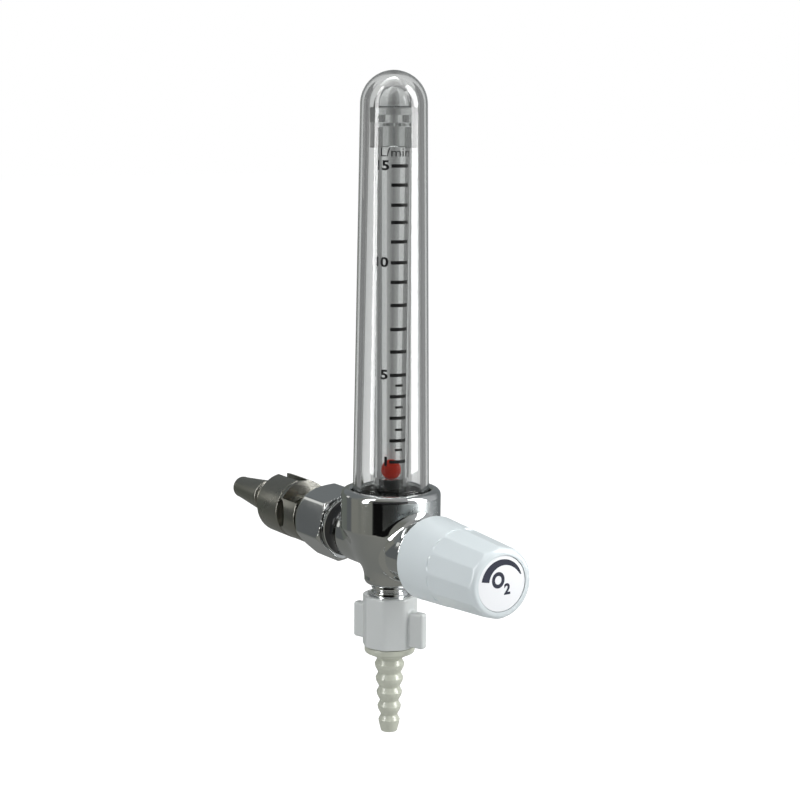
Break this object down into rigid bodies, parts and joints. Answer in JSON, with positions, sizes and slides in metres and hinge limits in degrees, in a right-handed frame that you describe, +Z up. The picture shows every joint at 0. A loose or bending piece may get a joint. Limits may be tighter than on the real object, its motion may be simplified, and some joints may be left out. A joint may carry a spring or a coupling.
{
  "type": "oxygen flowmeter",
  "caption": "Oxygen flowmeter with a wall-outlet probe, a float in a clear graduated tube, a flow knob with grip flats and a barbed hose tail under a wing nut.",
  "frame": {"origin": "centre of the inlet collar's wall-side face, on the probe's axis, where the part seats against a wall outlet", "axes": "+Y into the wall along the probe, -Y to the front where the knob is, +Z up along the flow tube, +X to the user's right"},
  "size_m": [0.042, 0.2123, 0.279],
  "materials": {
    "chrome": "polished chrome plate on brass",
    "nickel": "satin nickel plate on brass",
    "brass": "plain turned brass",
    "clear_acrylic": "clear polished plastic",
    "white_plastic": "cool white gloss plastic",
    "nut_plastic": "light grey gloss plastic",
    "cream_plastic": "cream satin plastic",
    "rubber": "black rubber",
    "red_float": "orange-red ball",
    "bronze": "sintered bronze"
  },
  "bodies": {
    "meter": {"body_casting": "chrome", "probe_body": "nickel", "index_ring": "nickel", "probe_tail": "brass", "inlet_washer": "rubber", "inlet_filter": "bronze", "inlet_nut": "chrome", "float_seat": "clear_acrylic", "tube_seal": "rubber", "flow_tube": "clear_acrylic", "float_stop": "clear_acrylic", "top_plug": "clear_acrylic", "cover_tube": "clear_acrylic", "cover_o_ring_1": "rubber", "cover_o_ring_2": "rubber", "valve_seat": "brass", "valve_bonnet": "chrome", "gland_nut": "brass", "outlet_spigot": "chrome"},
    "float": {"float_ball": "red_float"},
    "spindle_slide": {"spindle_o_ring": "rubber"},
    "knob_and_spindle": {"valve_spindle": "brass", "knob": "white_plastic", "knob_disc": "white_plastic", "knob_screw": "brass"},
    "hose_tail": {"hose_tail": "cream_plastic", "outlet_washer": "rubber"},
    "wing_nut": {"wing_nut": "nut_plastic"}
  },
  "joints": [
    {"name": "float_rise", "type": "slide", "parent": "meter", "child": "float", "axis": [0, 0, 1], "range_m": [0, 0.1374]},
    {"name": "spindle_rise", "type": "slide", "parent": "meter", "child": "spindle_slide", "axis": [0, -1, 0], "range_m": [0, 0.00113]},
    {"name": "knob_turn", "type": "hinge", "parent": "spindle_slide", "child": "knob_and_spindle", "pos_m": [0, -0.0924, 0], "axis": [0, -1, 0], "range_deg": [0, 540]},
    {"name": "hose_tail_drop", "type": "slide", "parent": "meter", "child": "hose_tail", "axis": [0, 0, -1], "range_m": [0, 0.00401]},
    {"name": "wing_nut_turn", "type": "hinge", "parent": "hose_tail", "child": "wing_nut", "pos_m": [0, -0.0924, 0], "axis": [0, 0, -1], "range_deg": [0, 1080]}
  ],
  "couplings": [
    {"joint": "spindle_rise", "follows": "knob_turn", "m_per_rad": 0.00011937},
    {"joint": "hose_tail_drop", "follows": "wing_nut_turn", "m_per_rad": 0.00021279}
  ]
}
